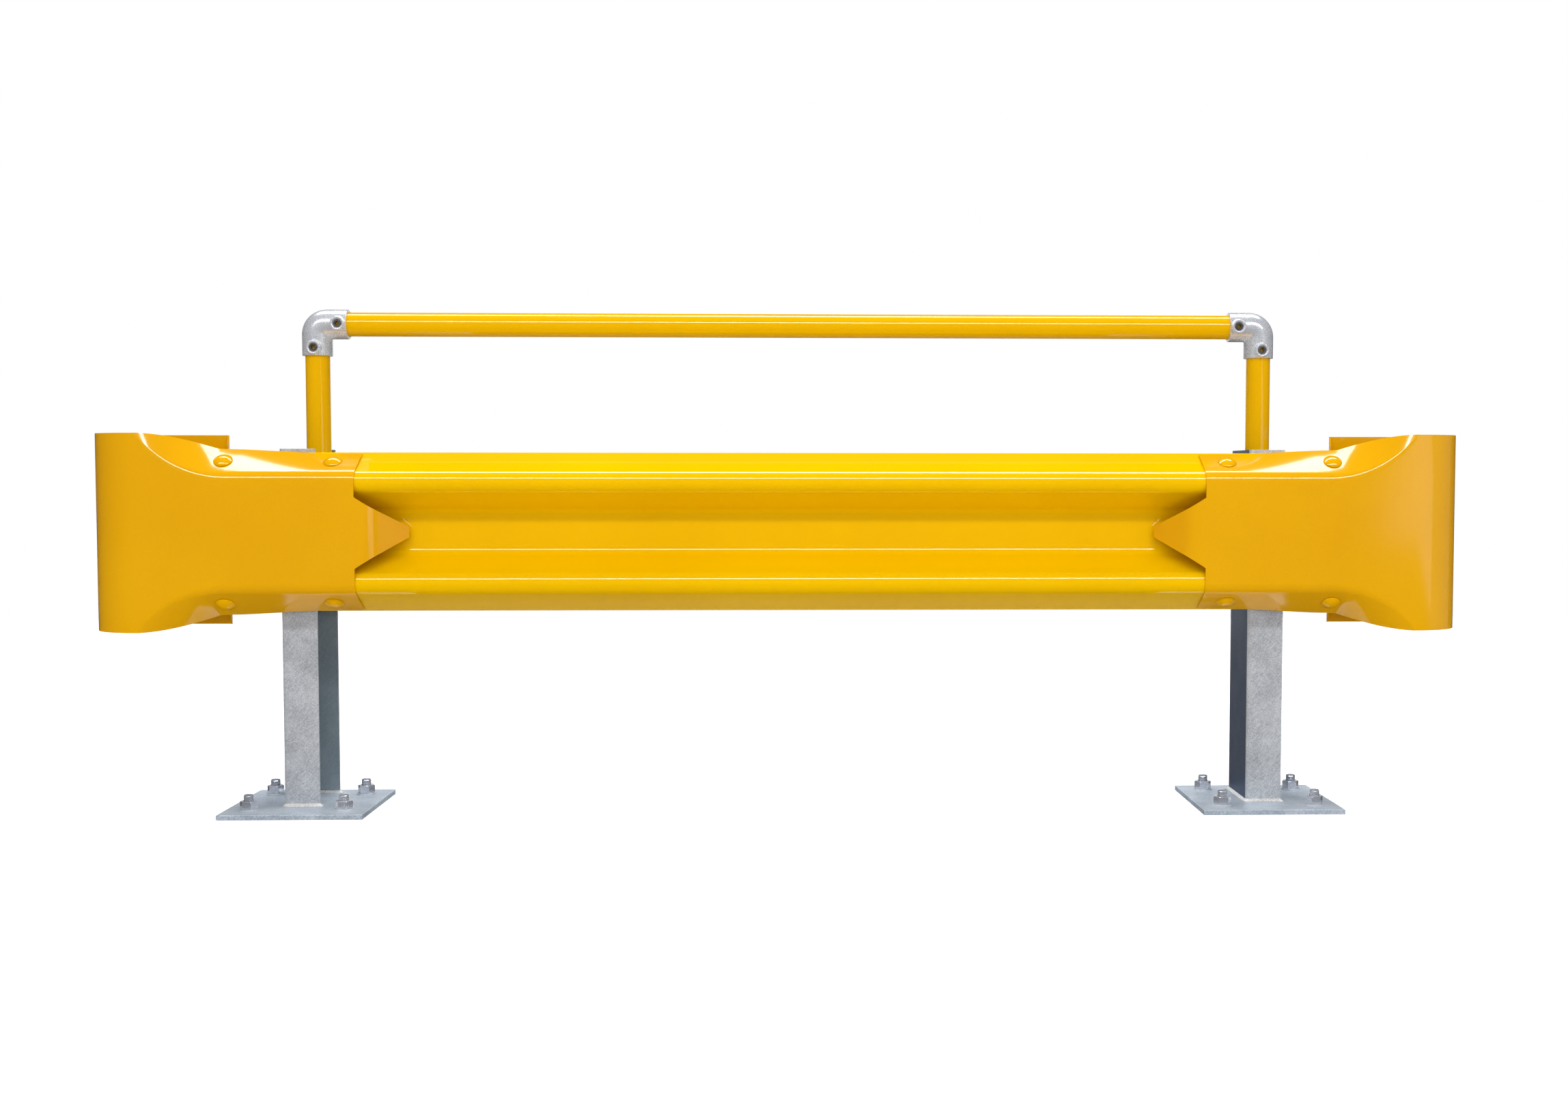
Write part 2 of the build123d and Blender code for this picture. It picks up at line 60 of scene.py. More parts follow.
def makeCamera(setup):
    data = bpy.data.cameras.new("camera")
    data.sensor_width = setup["sensorMm"]
    data.lens = setup["focalMm"]
    data.shift_x, data.shift_y = setup["shift"]
    data.clip_start, data.clip_end = setup["clip"]
    camera = bpy.data.objects.new("camera", data)
    turn = Matrix.Rotation(math.radians(setup["turnDeg"]), 4, "Z")
    tilt = Matrix.Rotation(math.radians(90 - setup["downDeg"]), 4, "X")
    roll = Matrix.Rotation(math.radians(setup["rollDeg"]), 4, "Z")
    camera.matrix_world = Matrix.Translation(setup["place"]) @ turn @ tilt @ roll
    bpy.context.scene.collection.objects.link(camera)
    bpy.context.scene.camera = camera


makeCamera(cameraSetup)
print("camera made")


# node helpers

black = (0.0, 0.0, 0.0)
white = (1.0, 1.0, 1.0)


def addNode(tree, kind, **settings):
    made = tree.nodes.new(kind)
    for name, value in settings.items():
        setattr(made, name, value)
    return made


def setInputs(made, **values):
    for name, value in values.items():
        made.inputs[name].default_value = value
    return made


def newMaterial(name):
    material = bpy.data.materials.new(name)
    material.use_nodes = True
    tree = material.node_tree
    tree.nodes.clear()
    output = addNode(tree, "ShaderNodeOutputMaterial")
    shader = addNode(tree, "ShaderNodeBsdfPrincipled")
    tree.links.new(shader.outputs["BSDF"], output.inputs["Surface"])
    place = addNode(tree, "ShaderNodeTexCoord")
    return material, tree, shader, place.outputs["Object"]


def noiseField(tree, place, scale, detail=2.0, roughness=0.5, stretch=None, turn=(0, 0, 0)):
    source = place
    if stretch:
        mapping = addNode(tree, "ShaderNodeMapping", vector_type="TEXTURE")
        setInputs(mapping, Scale=stretch, Rotation=turn)
        tree.links.new(place, mapping.inputs["Vector"])
        source = mapping.outputs["Vector"]
    field = addNode(tree, "ShaderNodeTexNoise")
    setInputs(field, Scale=scale, Detail=detail, Roughness=roughness)
    tree.links.new(source, field.inputs["Vector"])
    return field.outputs["Fac"]


def spread(tree, value, low, high, fromLow=0.3, fromHigh=0.7):
    span = addNode(tree, "ShaderNodeMapRange")
    setInputs(span, **{"From Min": fromLow, "From Max": fromHigh, "To Min": low, "To Max": high})
    tree.links.new(value, span.inputs["Value"])
    return span.outputs["Result"]


def mixColours(tree, factor, first, second):
    mix = addNode(tree, "ShaderNodeMix", data_type="RGBA")
    for socket, value in ((mix.inputs[6], first), (mix.inputs[7], second)):
        if isinstance(value, tuple):
            socket.default_value = value + (1.0,)
        else:
            tree.links.new(value, socket)
    tree.links.new(factor, mix.inputs[0])
    return mix.outputs[2]


def addBump(tree, height, strength, distance, after=None):
    bump = addNode(tree, "ShaderNodeBump")
    setInputs(bump, Strength=strength, Distance=distance)
    tree.links.new(height, bump.inputs["Height"])
    if after is not None:
        tree.links.new(after, bump.inputs["Normal"])
    return bump.outputs["Normal"]


def maths(tree, operation, *values):
    made = addNode(tree, "ShaderNodeMath", operation=operation)
    for socket, value in zip(made.inputs, values):
        if isinstance(value, (int, float)):
            socket.default_value = value
        else:
            tree.links.new(value, socket)
    return made.outputs[0]


def axes(tree, vector):
    split = addNode(tree, "ShaderNodeSeparateXYZ")
    tree.links.new(vector, split.inputs[0])
    return split.outputs


# yellow paint: a deep colour under a clear gloss, with a little orange peel

paint = {
    "roughness": 0.35, "specular": 0.0, "coat": 1.0, "coatIndex": 1.72,
    "driftScale": 3.1, "grainScale": 620.0, "grain": 0.35,
    "peelScale": 260.0, "peelDepth": 0.00005, "peelStrength": 0.2,
    "waveScale": 4.0, "waveDepth": 0.0014, "waveStrength": 0.35,
}
paints = {
    "railPaint": {
        "colour": (0.870, 0.502, 0.0), "deep": (0.830, 0.466, 0.0), "peel": 0.08, "wave": 0.0, "gloss": 0.02,
    },
    "endPaint": {
        "colour": (0.785, 0.392, 0.0), "deep": (0.735, 0.352, 0.0), "peel": 0.7, "wave": 0.2, "gloss": 0.10,
    },
    "tubePaint": {
        "colour": (0.810, 0.445, 0.0), "deep": (0.770, 0.410, 0.0), "peel": 0.02, "wave": 0.0, "gloss": 0.02,
    },
    "boltPaint": {
        "colour": (0.810, 0.412, 0.0), "deep": (0.760, 0.372, 0.0), "peel": 0.1, "wave": 0.0, "gloss": 0.03,
    },
}


def makePaint(name):
    mix = paints[name]
    material, tree, shader, place = newMaterial(name)
    drift = spread(tree, noiseField(tree, place, paint["driftScale"], detail=3.0), 0, 1)
    grain = spread(tree, noiseField(tree, place, paint["grainScale"]), -paint["grain"], paint["grain"])
    tone = mixColours(tree, maths(tree, "ADD", drift, grain), mix["colour"], mix["deep"])
    tree.links.new(tone, shader.inputs["Base Color"])
    setInputs(shader, **{
        "Roughness": paint["roughness"],
        "Specular IOR Level": paint["specular"],
        "Coat Weight": paint["coat"],
        "Coat Roughness": mix["gloss"],
        "Coat IOR": paint["coatIndex"],
    })
    fine = noiseField(tree, place, paint["peelScale"], detail=1.5)
    normal = addBump(tree, fine, paint["peelStrength"] * mix["peel"], paint["peelDepth"])
    if mix["wave"]:
        slow = noiseField(tree, place, paint["waveScale"], detail=1.0)
        normal = addBump(tree, slow, paint["waveStrength"] * mix["wave"], paint["waveDepth"], normal)
    tree.links.new(normal, shader.inputs["Normal"])
    tree.links.new(normal, shader.inputs["Coat Normal"])
    return material


# galvanised steel: fine mottle, soft clouds, crossed diagonal rubbing marks, and painted shade inside a post,
# where its channel is shaded

zincGrain = {
    "mottleSpread": (-0.45, 0.45), "cloudScale": 16.0, "cloudSpread": (0.2, 0.8),
    "markScale": 640.0, "markLength": 9.0, "markLeans": {40: 1.0, -48: 0.5},
    "dentScale": 45.0, "dentStrength": 0.3, "dentDepth": 4.0, "mottleStrength": 0.35,
    # how strongly and how softly the painted shade inside a post darkens its faces
    "dullShare": 0.95, "dullFade": 0.004,
}
zincFinishes = {
    "postZinc": {
        "dark": (0.47, 0.49, 0.53), "light": (0.84, 0.87, 0.92), "metallic": 0.40, "roughness": (0.34, 0.5),
        "mottleScale": 480.0, "rubbing": 0.34, "depth": 0.00006,
        # painted shade inside the channel: its tone, and the depths between which it lies
        "dull": (0.145, 0.225, 0.270), "dullBetween": (-0.043, 0.099),
    },
    "plateZinc": {
        "dark": (0.42, 0.51, 0.61), "light": (0.80, 0.89, 1.00), "metallic": 0.37, "roughness": (0.34, 0.5),
        "mottleScale": 300.0, "rubbing": 0.12, "depth": 0.00010,
    },
    "weldZinc": {
        "dark": (0.80, 0.82, 0.84), "light": (0.96, 0.97, 0.98), "metallic": 0.3, "roughness": (0.2, 0.36),
        "mottleScale": 500.0, "rubbing": 0.0, "depth": 0.00020,
    },
    "castZinc": {
        "dark": (0.80, 0.84, 0.92), "light": (0.97, 0.98, 1.00), "metallic": 0.58, "roughness": (0.20, 0.32),
        "mottleScale": 380.0, "rubbing": 0.10, "depth": 0.00001,
    },
    "screwSteel": {
        "dark": (0.16, 0.16, 0.18), "light": (0.30, 0.30, 0.32), "metallic": 0.8, "roughness": (0.2, 0.3),
        "mottleScale": 700.0, "rubbing": 0.0, "depth": 0.00002,
    },
    "anchorSteel": {
        "dark": (0.53, 0.56, 0.63), "light": (0.88, 0.91, 0.98), "metallic": 0.66, "roughness": (0.16, 0.28),
        "mottleScale": 420.0, "rubbing": 0.10, "depth": 0.00003,
    },
    "washerZinc": {
        "dark": (0.66, 0.69, 0.73), "light": (0.90, 0.93, 0.97), "metallic": 0.5, "roughness": (0.26, 0.4),
        "mottleScale": 500.0, "rubbing": 0.0, "depth": 0.00005,
    },
    "fastenerZinc": {
        "dark": (0.42, 0.42, 0.44), "light": (0.68, 0.68, 0.70), "metallic": 0.6, "roughness": (0.3, 0.44),
        "mottleScale": 500.0, "rubbing": 0.0, "depth": 0.00005,
    },
}
# the painted shade inside the right post is darker and bluer, standing in for its shade and a bluish
# reflection there
zincFinishes["rightPostBluerShadeZinc"] = dict(zincFinishes["postZinc"], dull=(0.014, 0.044, 0.110))


def makeZinc(name):
    finish = zincFinishes[name]
    material, tree, shader, place = newMaterial(name)
    mottle = noiseField(tree, place, finish["mottleScale"], detail=3.0, roughness=0.65)
    cloud = noiseField(tree, place, zincGrain["cloudScale"], detail=4.0, roughness=0.6)
    spots = spread(tree, mottle, *zincGrain["mottleSpread"])
    tone = maths(tree, "ADD", spots, spread(tree, cloud, *zincGrain["cloudSpread"]))
    for lean, share in zincGrain["markLeans"].items():
        marks = noiseField(
            tree, place, zincGrain["markScale"], detail=3.0, roughness=0.7,
            stretch=(1.0, 1.0, zincGrain["markLength"]), turn=(0, math.radians(lean), 0),
        )
        rubbed = spread(tree, marks, -finish["rubbing"] * share, finish["rubbing"] * share)
        tone = maths(tree, "ADD", tone, rubbed)
    colour = mixColours(tree, tone, finish["dark"], finish["light"])
    # painted shade: faces inside the post's channel, between its front and back flanges, are darkened towards
    # this tone
    if "dull" in finish:
        depth = axes(tree, place)[1]
        low, high = finish["dullBetween"]
        fromFront = spread(tree, depth, 0, 1, low, low + zincGrain["dullFade"])
        fromBack = spread(tree, depth, 1, 0, high - zincGrain["dullFade"], high)
        inside = maths(tree, "MULTIPLY", fromFront, fromBack)
        insideShadeAmount = maths(tree, "MULTIPLY", inside, zincGrain["dullShare"])
        colour = mixColours(tree, insideShadeAmount, colour, finish["dull"])
    tree.links.new(colour, shader.inputs["Base Color"])
    tree.links.new(spread(tree, tone, *finish["roughness"], 0.0, 1.0), shader.inputs["Roughness"])
    shader.inputs["Metallic"].default_value = finish["metallic"]
    dents = noiseField(tree, place, zincGrain["dentScale"])
    normal = addBump(tree, dents, zincGrain["dentStrength"], finish["depth"] * zincGrain["dentDepth"])
    normal = addBump(tree, mottle, zincGrain["mottleStrength"], finish["depth"], normal)
    tree.links.new(normal, shader.inputs["Normal"])
    return material


coated = {name: makePaint(name) for name in paints}
zinc = {name: makeZinc(name) for name in zincFinishes}
print("materials made")


# finishing a mesh as a piece of the object

def newObject(name, bm):
    mesh = bpy.data.meshes.new(name)
    bm.to_mesh(mesh)
    bm.free()
    made = bpy.data.objects.new(name, mesh)
    bpy.context.scene.collection.objects.link(made)
    return made


def addPiece(name, bm, material, nodes, smoothDeg=32.0, edge=0.0, edgeDeg=40.0, wall=0.0):
    bmesh.ops.scale(bm, vec=(mm, mm, mm), verts=bm.verts)
    piece = newObject(name, bm)
    piece.data.materials.append(material)
    piece.data.shade_smooth()
    piece.data.set_sharp_from_angle(angle=math.radians(smoothDeg))
    if wall:
        sheet = piece.modifiers.new("wall", "SOLIDIFY")
        sheet.thickness = wall * mm
        sheet.offset = -1.0
        sheet.use_even_offset = True
    if edge:
        rounded = piece.modifiers.new("edges", "BEVEL")
        rounded.width = edge * mm
        rounded.segments = 2
        rounded.limit_method = "ANGLE"
        rounded.angle_limit = math.radians(edgeDeg)
        shading = piece.modifiers.new("shading", "WEIGHTED_NORMAL")
        shading.keep_sharp = True
    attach(piece, "root")
    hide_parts(*nodes)
    return piece


def mirrored(bm, side):
    if side < 0:
        bmesh.ops.scale(bm, vec=(-1, 1, 1), verts=bm.verts)
        bmesh.ops.reverse_faces(bm, faces=bm.faces)
    return bm


def joined(*meshes):
    whole = bmesh.new()
    for bm in meshes:
        part = bpy.data.meshes.new("part")
        bm.to_mesh(part)
        bm.free()
        whole.from_mesh(part)
        bpy.data.meshes.remove(part)
    return whole


cleaning = {"merge": 0.01, "flatDeg": 0.5}


def nodeMesh(node):
    # a copy in millimetres, its loose triangles merged and its flats cleaned
    bm = bmesh.new()
    bm.from_mesh(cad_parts[node].data)
    bmesh.ops.scale(bm, vec=(1 / mm, 1 / mm, 1 / mm), verts=bm.verts)
    bmesh.ops.remove_doubles(bm, verts=bm.verts, dist=cleaning["merge"])
    bmesh.ops.dissolve_limit(
        bm, angle_limit=math.radians(cleaning["flatDeg"]), verts=bm.verts, edges=bm.edges,
    )
    return bm


def fixedFacing(bm, outward):
    # an open sheet's outermost face looks outwards, and so do the rest
    bm.normal_update()
    outward = Vector(outward)
    face = max(bm.faces, key=lambda f: f.calc_center_median().dot(outward))
    if face.normal.dot(outward) < 0:
        bmesh.ops.reverse_faces(bm, faces=bm.faces)
    return bm


def pulled(bm, row, move):
    # a row of edges drawn out straight: its new vertices and edges
    edges = [e for e in row if isinstance(e, bmesh.types.BMEdge)]
    grown = bmesh.ops.extrude_edge_only(bm, edges=edges)["geom"]
    verts = [v for v in grown if isinstance(v, bmesh.types.BMVert)]
    bmesh.ops.translate(bm, vec=move, verts=verts)
    return verts, [e for e in grown if isinstance(e, bmesh.types.BMEdge) and all(v in verts for v in e.verts)]


# W-beam rail

rail = {
    "length": 2250.0, "height": 312.0, "centreZ": 555.0, "depth": 83.0, "wall": 3.0,
    "crest": 98.0, "crestRadius": 24.0, "valleyRadius": 24.0, "slopeDeg": 61.5,
    "frontY": -131.8, "bendSteps": 24,
}
postFrontY = rail["frontY"] + rail["depth"]


def makeRail():
    # from the lower edge up: flats drawn out along the sheet's heading, bends spun about their centres
    slope = math.radians(rail["slopeDeg"])
    apexY = rail["frontY"] + rail["crestRadius"] * (1 - 1 / math.cos(slope))
    valleyY = postFrontY - rail["wall"]
    valleyZ = rail["crest"] - (valleyY - apexY) / math.tan(slope)
    crestRun = rail["crestRadius"] * math.tan(slope)
    valleyRun = rail["valleyRadius"] * math.tan(slope / 2)
    flange = (rail["height"] / 2 - rail["crest"]) / math.cos(slope) - crestRun
    web = (rail["crest"] - valleyZ) / math.cos(slope) - crestRun - valleyRun
    crest = (-2 * slope, rail["crestRadius"])
    valley = (slope, rail["valleyRadius"])
    passes = [
        (flange, *crest), (web, *valley), (2 * (valleyZ - valleyRun), *valley), (web, *crest), (flange, 0, 0),
    ]
    heading = math.pi / 2 + slope
    y = apexY + (rail["height"] / 2 - rail["crest"]) * math.tan(slope)
    place = Vector((0, y, rail["centreZ"] - rail["height"] / 2))
    bm = bmesh.new()
    verts = [bm.verts.new(place + Vector((half * rail["length"] / 2, 0, 0))) for half in (-1, 1)]
    row = [bm.edges.new(verts)]
    for flat, turn, radius in passes:
        move = Vector((0, math.cos(heading), math.sin(heading))) * flat
        verts, edges = pulled(bm, row, move)
        place += move
        if turn:
            towards = math.copysign(radius, turn)
            centre = place + Vector((0, -math.sin(heading), math.cos(heading))) * towards
            row = bmesh.ops.spin(
                bm, geom=verts + edges, cent=centre, axis=(1, 0, 0), angle=turn, steps=rail["bendSteps"],
                use_duplicate=False,
            )["geom_last"]
            place = centre + Matrix.Rotation(turn, 3, "X") @ (place - centre)
            heading += turn
    return fixedFacing(bm, (0, -1, 0))


addPiece(
    "wBeamRail", makeRail(), coated["railPaint"], ["w_beam_rail"], wall=rail["wall"], edge=0.5,
)
print("rail made")


# pressed end pieces

end = {
    "wall": 3.0, "gap": 0.2, "frontY": -135.0, "innerEdge": 823.0, "noseX": 1240.0, "noseRadius": 104.0,
    "sweepRadius": 205.0, "sweepLength": 171.5, "flushUntil": 892.0, "seatFrom": 1060.0, "seatUntil": 1100.0,
    "seatDeg": 53.0, "lastDeg": 12.5, "halfWidth": 191.7, "returnLength": 116.0, "lip": 13.0,
    "lipRadius": 5.0, "lipChamfer": 19.0,
    "tongueRoot": 69.0, "tongueTip": 10.5, "tongueLength": 89.0, "tongueDeg": 47.0, "tongueRadius": 55.0,
    "bowInnerDeg": 5.5, "bowDeg": 4.5, "bowLength": 200.0, "bowShare": 0.3, "leastBow": 0.001,
    "edgeRoom": 0.5,
    "rootSteps": 4, "faceSteps": 3, "foldSteps": 12, "flangeSteps": 10, "station": 12.0, "stations": 19,
    "sweepSteps": 34, "noseSteps": 48, "lipSteps": 6, "tongueBendSteps": 8, "tongueSteps": 7,
}
foldRadius = rail["crestRadius"] + end["gap"] + end["wall"]
sweepStart = end["noseX"] - end["sweepLength"]
middleRadius = foldRadius - end["wall"] / 2


def upTo(steps):
    return range(1, steps + 1)


def foldHeight(x):
    run = max(0.0, x - sweepStart)
    rise = end["sweepRadius"] - math.sqrt(end["sweepRadius"] ** 2 - run ** 2)
    return min(rail["crest"] + rise, end["halfWidth"] - end["wall"] / 2)


def flangeAngle(x):
    if x <= end["flushUntil"]:
        return math.radians(rail["slopeDeg"])
    if x <= end["seatFrom"]:
        share = (x - end["flushUntil"]) / (end["seatFrom"] - end["flushUntil"])
        angle = rail["slopeDeg"] + share * (end["seatDeg"] - rail["slopeDeg"])
    elif x <= end["seatUntil"]:
        angle = end["seatDeg"]
    else:
        share = (x - end["seatUntil"]) / (end["noseX"] - end["seatUntil"])
        angle = end["seatDeg"] + share * (end["lastDeg"] - end["seatDeg"])
    room = (end["halfWidth"] - foldHeight(x) - end["edgeRoom"]) / middleRadius
    return min(math.radians(angle), room)


def flangeBow(x):
    # half of the angle by which the flange bows outwards between its fold and its edge
    share = min(1.0, (x - end["innerEdge"]) / end["bowLength"])
    degrees = end["bowInnerDeg"] + share * (end["bowDeg"] - end["bowInnerDeg"])
    outwards = min(1.0, (end["noseX"] - x) / (end["bowLength"] / 2))
    return min(math.radians(degrees) * outwards, end["bowShare"] * flangeAngle(x))


def sheetPoint(x, along):
    # depth and height on the outer face, a distance up the sheet from where its fold starts
    bow = flangeBow(x)
    folded = flangeAngle(x) - bow
    turn = min(along / foldRadius, folded)
    y = end["frontY"] + foldRadius * (1 - math.cos(turn))
    z = foldHeight(x) + foldRadius * math.sin(turn)
    rest = along - foldRadius * folded
    if rest <= 0:
        return y, z
    length = end["halfWidth"] - foldHeight(x) - middleRadius * folded
    if bow < end["leastBow"]:
        return y + rest * math.sin(folded), z + rest * math.cos(folded)
    radius = length / (2 * bow)
    turn = folded + rest / radius
    return y + radius * (math.cos(folded) - math.cos(turn)), z + radius * (math.sin(turn) - math.sin(folded))


def flangePoint(x, upSlope, half=1):
    y, z = sheetPoint(x, foldRadius * flangeAngle(x) + upSlope)
    return Vector((x, y, rail["centreZ"] + half * z))


def endSection(x):
    # depth and height of the sheet's outer face at one place, from the bottom edge to the top one
    fold, angle = foldHeight(x), flangeAngle(x)
    folded = foldRadius * (angle - flangeBow(x))
    flange = foldRadius * angle + end["halfWidth"] - fold - middleRadius * angle - folded
    face = fold - end["tongueRoot"]
    half = [(end["frontY"], end["tongueRoot"] * k / end["rootSteps"]) for k in upTo(end["rootSteps"])]
    half += [(end["frontY"], end["tongueRoot"] + face * k / end["faceSteps"]) for k in upTo(end["faceSteps"])]
    half += [sheetPoint(x, folded * k / end["foldSteps"]) for k in upTo(end["foldSteps"])]
    half += [sheetPoint(x, folded + flange * k / end["flangeSteps"]) for k in upTo(end["flangeSteps"])]
    return [(y, -z) for y, z in reversed(half)] + [(end["frontY"], 0.0)] + half


def extrudeRun(bm, run, places):
    # extrudes a row of vertices and puts the new row where it belongs
    edges = [bm.edges.get(pair) for pair in zip(run, run[1:])]
    made = bmesh.ops.extrude_edge_only(bm, edges=edges)["geom"]
    row = sorted((v for v in made if isinstance(v, bmesh.types.BMVert)), key=lambda v: v.co.z)
    for vert, place in zip(row, places):
        vert.co = place
    return row


def sectionPlaces(x):
    return [Vector((x, y, rail["centreZ"] + z)) for y, z in endSection(x)]


def addReturn(bm, rim):
    # the return behind the nose, and its lip turned to the front
    straight = end["returnLength"] - end["lipRadius"]
    verts, edges = pulled(bm, rim, (-straight, 0, 0))
    bendPlace = (end["noseX"] - straight, end["frontY"] + 2 * end["noseRadius"] - end["lipRadius"], 0)
    bent = bmesh.ops.spin(
        bm, geom=verts + edges, cent=bendPlace, axis=(0, 0, 1), angle=math.pi / 2, steps=end["lipSteps"],
        use_duplicate=False,
    )["geom_last"]
    verts, _ = pulled(bm, bent, (0, end["lipRadius"] - end["lip"], 0))
    shorter = (end["halfWidth"] - end["lipChamfer"]) / end["halfWidth"]
    bmesh.ops.scale(
        bm, vec=(1, 1, shorter), space=Matrix.Translation((0, 0, -rail["centreZ"])), verts=verts,
    )


def addTongue(bm, row):
    # the tongue, bent back into the valley and drawn in towards its tip
    bend = math.radians(end["tongueDeg"])
    arcEnd = end["innerEdge"] - end["tongueRadius"] * math.sin(bend)
    tipX = end["innerEdge"] - end["tongueLength"]
    outline = []
    for k in upTo(end["tongueBendSteps"]):
        turn = bend * k / end["tongueBendSteps"]
        outline.append((
            end["innerEdge"] - end["tongueRadius"] * math.sin(turn),
            end["frontY"] + end["tongueRadius"] * (1 - math.cos(turn)),
        ))
    arcY = outline[-1][1]
    for k in upTo(end["tongueSteps"]):
        x = arcEnd + (tipX - arcEnd) * k / end["tongueSteps"]
        outline.append((x, arcY + (arcEnd - x) * math.tan(bend)))
    heights = [v.co.z - rail["centreZ"] for v in row]
    for x, y in outline:
        share = (end["innerEdge"] - x) / end["tongueLength"]
        halfHeight = end["tongueRoot"] + share * (end["tongueTip"] - end["tongueRoot"])
        places = [Vector((x, y, rail["centreZ"] + z * halfHeight / end["tongueRoot"])) for z in heights]
        row = extrudeRun(bm, row, places)


def makeEndSheet():
    bm = bmesh.new()
    first = [bm.verts.new(place) for place in sectionPlaces(end["innerEdge"])]
    for pair in zip(first, first[1:]):
        bm.edges.new(pair)
    # along the rail and out to the nose
    places = [end["innerEdge"] + k * end["station"] for k in upTo(end["stations"])]
    places += [
        sweepStart + end["sweepLength"] * k / end["sweepSteps"] for k in range(end["sweepSteps"] + 1)
    ]
    row = first
    for x in places:
        row = extrudeRun(bm, row, sectionPlaces(x))
    # half a turn round the nose
    centreY = end["frontY"] + end["noseRadius"]
    rim = [bm.edges.get(pair) for pair in zip(row, row[1:])]
    spun = bmesh.ops.spin(
        bm, geom=row + rim, cent=(end["noseX"], centreY, 0), axis=(0, 0, 1), angle=math.pi,
        steps=end["noseSteps"], use_duplicate=False,
    )["geom_last"]
    addReturn(bm, spun)
    # the tongue grows from the middle of the first row
    rootCount = 2 * end["rootSteps"] + 1
    skipped = (len(first) - rootCount) // 2
    addTongue(bm, first[skipped:skipped + rootCount])
    return fixedFacing(bm, (0, -1, 0))


for name, side in sides.items():
    sheet = mirrored(makeEndSheet(), side)
    addPiece(
        name + "EndPiece", sheet, coated["endPaint"], [name + "_end_piece"], smoothDeg=40,
        wall=end["wall"], edge=0.5, edgeDeg=50,
    )
print("end pieces made")


# round parts, standing on their seat at z = 0

def turned(profile, closed=False, steps=64):
    # spun round the z axis; an outline that isn't closed starts and ends on the axis
    bm = bmesh.new()
    verts = [bm.verts.new((r, 0, z)) for r, z in profile]
    following = verts[1:] + verts[:1] if closed else verts[1:]
    run = [bm.edges.new(pair) for pair in zip(verts, following)]
    bmesh.ops.spin(
        bm, geom=verts + run, cent=(0, 0, 0), axis=(0, 0, 1), angle=math.tau, steps=steps, use_merge=True,
        use_duplicate=False,
    )
    bmesh.ops.remove_doubles(bm, verts=bm.verts, dist=touching)
    bmesh.ops.recalc_face_normals(bm, faces=bm.faces)
    return bm


def placed(bm, matrix):
    bmesh.ops.transform(bm, matrix=matrix, verts=bm.verts)
    return bm


# depth, half width, run in and run out are in pitches; the ridge's root is sunk in the shank by a length
threadForm = {"depth": 0.5, "halfWidth": 0.48, "sunk": 0.3, "runIn": 0.6, "runOut": 0.7, "steps": 28}


def thread(radius, pitch, low, high):
    # a helical ridge of triangular section
    root = radius - pitch * threadForm["depth"] - threadForm["sunk"]
    half = pitch * threadForm["halfWidth"]
    bm = bmesh.new()
    section = [(root, -half), (radius, 0.0), (root, half)]
    verts = [bm.verts.new((r, 0, low + z)) for r, z in section]
    edges = [bm.edges.new(pair) for pair in zip(verts, verts[1:] + verts[:1])]
    face = bm.faces.new(verts)
    turns = (high - low) / pitch
    count = max(3, int(round(turns * threadForm["steps"])))
    bmesh.ops.spin(
        bm, geom=verts + edges + [face], cent=(0, 0, 0), axis=(0, 0, 1), dvec=(0, 0, pitch * turns / count),
        angle=math.tau * turns, steps=count, use_duplicate=False,
    )
    bmesh.ops.recalc_face_normals(bm, faces=bm.faces)
    return bm


def threadedRod(radius, pitch, high, tipChamfer):
    core = radius - pitch * threadForm["depth"]
    body = turned([(0, 0), (core, 0), (core, high - tipChamfer / 2), (core - tipChamfer, high), (0, high)])
    ridge = thread(radius, pitch, pitch * threadForm["runIn"], high - pitch * threadForm["runOut"])
    return joined(body, ridge)


# how far the core lies under the thread, the corners of a head's rim and foot as (outwards, upwards), and
# the length without thread at the tip
headForm = {
    "arcSteps": 9, "coreInset": 0.9, "rimCorners": ((-0.3, 0.25), (0.0, -0.3)),
    "footCorners": ((0.0, 0.35), (-0.4, 0.0)), "tipPlain": 1.2,
}


def domeProfile(bolt):
    # half outline of a mushroom-headed bolt, from the crown to the shank's end
    radius, height, rim = bolt["headRadius"], bolt["headHeight"], bolt["rim"]
    core = bolt["shankRadius"] - headForm["coreInset"]
    rise = height - rim
    sphere = (radius ** 2 + rise ** 2) / (2 * rise)
    reach = math.asin(radius / sphere)
    turns = [reach * k / headForm["arcSteps"] for k in range(headForm["arcSteps"])]
    arc = [(sphere * math.sin(turn), height - sphere * (1 - math.cos(turn))) for turn in turns]
    edge = [(radius + outwards, rim + upwards) for outwards, upwards in headForm["rimCorners"]]
    edge += [(radius + outwards, upwards) for outwards, upwards in headForm["footCorners"]]
    return arc + edge + [(core, 0), (core, -bolt["length"]), (0, -bolt["length"])]


def mushroomBolt(bolt):
    low = headForm["tipPlain"] - bolt["length"]
    ridge = thread(bolt["shankRadius"], bolt["pitch"], low, -bolt["threadFrom"])
    return joined(turned(domeProfile(bolt)), ridge)


# splice bolts, painted with the sheet

splice = {
    "boltX": (872.0, 1080.0), "upSlope": 29.0, "headRadius": 18.0, "headHeight": 9.0, "rim": 1.5,
    "shankRadius": 8.0, "length": 35.0, "pitch": 2.0, "threadFrom": 14.0,
    "seatSteps": (-18, -9, 0, 9, 18), "seatRises": (-12, 0, 12), "seatReach": 24,
}


